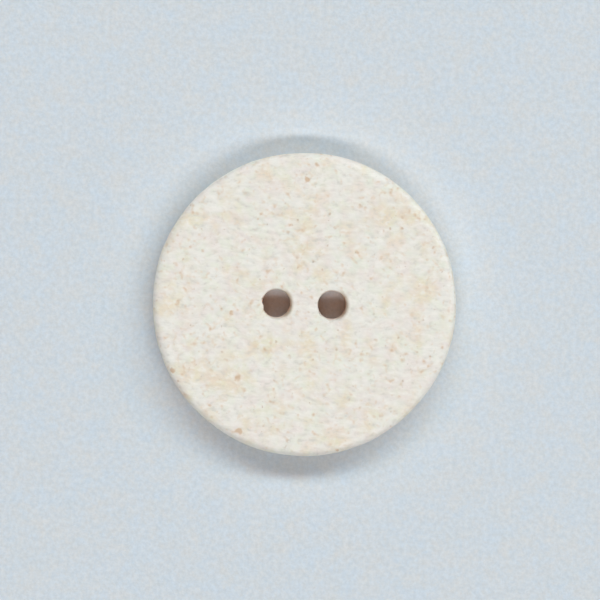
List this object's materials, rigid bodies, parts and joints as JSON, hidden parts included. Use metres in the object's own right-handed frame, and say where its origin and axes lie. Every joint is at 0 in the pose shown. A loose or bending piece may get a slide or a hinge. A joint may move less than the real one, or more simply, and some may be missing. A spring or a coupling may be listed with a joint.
{
  "type": "sew-on button",
  "caption": "Flat round sew-on button with a rounded rim and open sewing holes either side of its centre, in a cream speckled composite.",
  "frame": {"origin": "centre of the flat back face, midway between the two sewing holes", "axes": "+Z out of the front face; +X from one sewing hole towards the other; +Y completes a right-handed frame"},
  "size_m": [0.025, 0.025, 0.003],
  "materials": {
    "speckled_composite": "cream composite with a dull, slightly waxy surface, fine whitish streaks, tan mottling and scattered orange-brown flecks"
  },
  "bodies": {
    "root": {"button_disc": "speckled_composite"}
  },
  "joints": []
}
